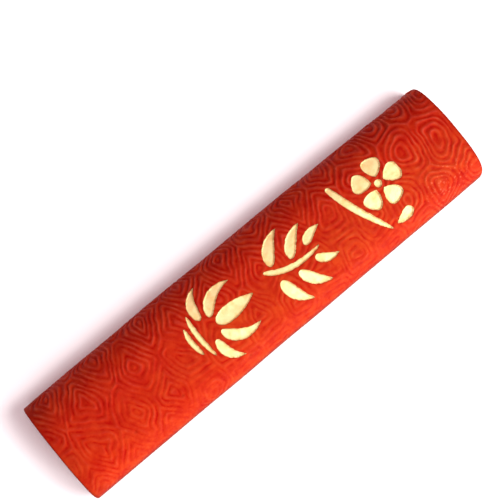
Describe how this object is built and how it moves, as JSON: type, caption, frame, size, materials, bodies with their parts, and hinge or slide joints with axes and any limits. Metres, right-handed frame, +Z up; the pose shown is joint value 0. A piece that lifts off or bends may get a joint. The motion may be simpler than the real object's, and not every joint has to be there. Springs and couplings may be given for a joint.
{
  "type": "ink stick",
  "caption": "Vermilion calligraphy ink stick: a domed pressed block with square ends, a flat underside and gilt flower and leaf marks in shallow recesses.",
  "frame": {"origin": "middle of the flat underside", "axes": "+X along the stick, towards the end that is held; +Y across it; +Z up through the domed, gilded face"},
  "size_m": [0.0952, 0.022, 0.0106],
  "materials": {
    "vermilion_ink": "satin",
    "gilding": "matte"
  },
  "bodies": {
    "root": {"ink_body": "vermilion_ink", "lotus_petal_1": "gilding", "lotus_petal_2": "gilding", "lotus_petal_3": "gilding", "lotus_petal_4": "gilding", "lotus_petal_5": "gilding", "lotus_ripple_1": "gilding", "lotus_ripple_2": "gilding", "plum_bud": "gilding", "plum_heart": "gilding", "plum_petal_1": "gilding", "plum_petal_2": "gilding", "plum_petal_3": "gilding", "plum_petal_4": "gilding", "plum_petal_5": "gilding", "plum_twig": "gilding", "sprig_leaf_1": "gilding", "sprig_leaf_2": "gilding", "sprig_leaf_3": "gilding", "sprig_leaf_4": "gilding", "sprig_leaf_5": "gilding", "sprig_leaf_6": "gilding", "sprig_stem": "gilding"}
  },
  "joints": []
}
